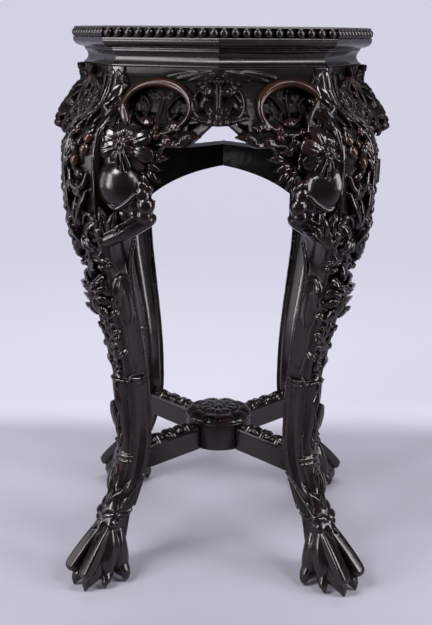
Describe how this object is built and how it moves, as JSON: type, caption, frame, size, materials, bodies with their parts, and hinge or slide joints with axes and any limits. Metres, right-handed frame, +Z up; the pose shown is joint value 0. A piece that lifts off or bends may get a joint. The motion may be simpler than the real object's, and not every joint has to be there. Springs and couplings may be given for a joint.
{
  "type": "display stand",
  "caption": "Tall octagonal wooden display stand with a beaded rim, pierced leafy aprons, cabriole legs ending in claw feet and an X stretcher with a carved hub",
  "frame": {"origin": "on the floor under the middle of the top", "axes": "+Z up from floor to top, -Y toward the front span, +X to the right; the legs stand on the diagonals between the axes"},
  "size_m": [0.508, 0.508, 0.82],
  "materials": {
    "dark_wood": "near-black hardwood, waxed to a gloss",
    "carved_wood": "reddish dark hardwood, carved and waxed",
    "inner_wood": "plain brown wood, unpolished"
  },
  "bodies": {
    "root": {"top_panel": "dark_wood", "panel_batten": "inner_wood", "top_rail_front_right": "dark_wood", "top_rail_right_front": "dark_wood", "top_rail_right_back": "dark_wood", "top_rail_back_right": "dark_wood", "top_rail_back_left": "dark_wood", "top_rail_left_back": "dark_wood", "top_rail_left_front": "dark_wood", "top_rail_front_left": "dark_wood", "waist_front_right": "dark_wood", "waist_right_front": "dark_wood", "waist_right_back": "dark_wood", "waist_back_right": "dark_wood", "waist_back_left": "dark_wood", "waist_left_back": "dark_wood", "waist_left_front": "dark_wood", "waist_front_left": "dark_wood", "apron_front_right": "carved_wood", "apron_right_front": "carved_wood", "apron_right_back": "carved_wood", "apron_back_right": "carved_wood", "apron_back_left": "carved_wood", "apron_left_back": "carved_wood", "apron_left_front": "carved_wood", "apron_front_left": "carved_wood", "leg_front_right": "dark_wood", "leg_back_right": "dark_wood", "leg_back_left": "dark_wood", "leg_front_left": "dark_wood", "stretcher_arm_front_right": "dark_wood", "stretcher_arm_back_right": "dark_wood", "stretcher_arm_back_left": "dark_wood", "stretcher_arm_front_left": "dark_wood", "stretcher_hub": "dark_wood", "hub_rosette": "carved_wood"}
  },
  "joints": []
}
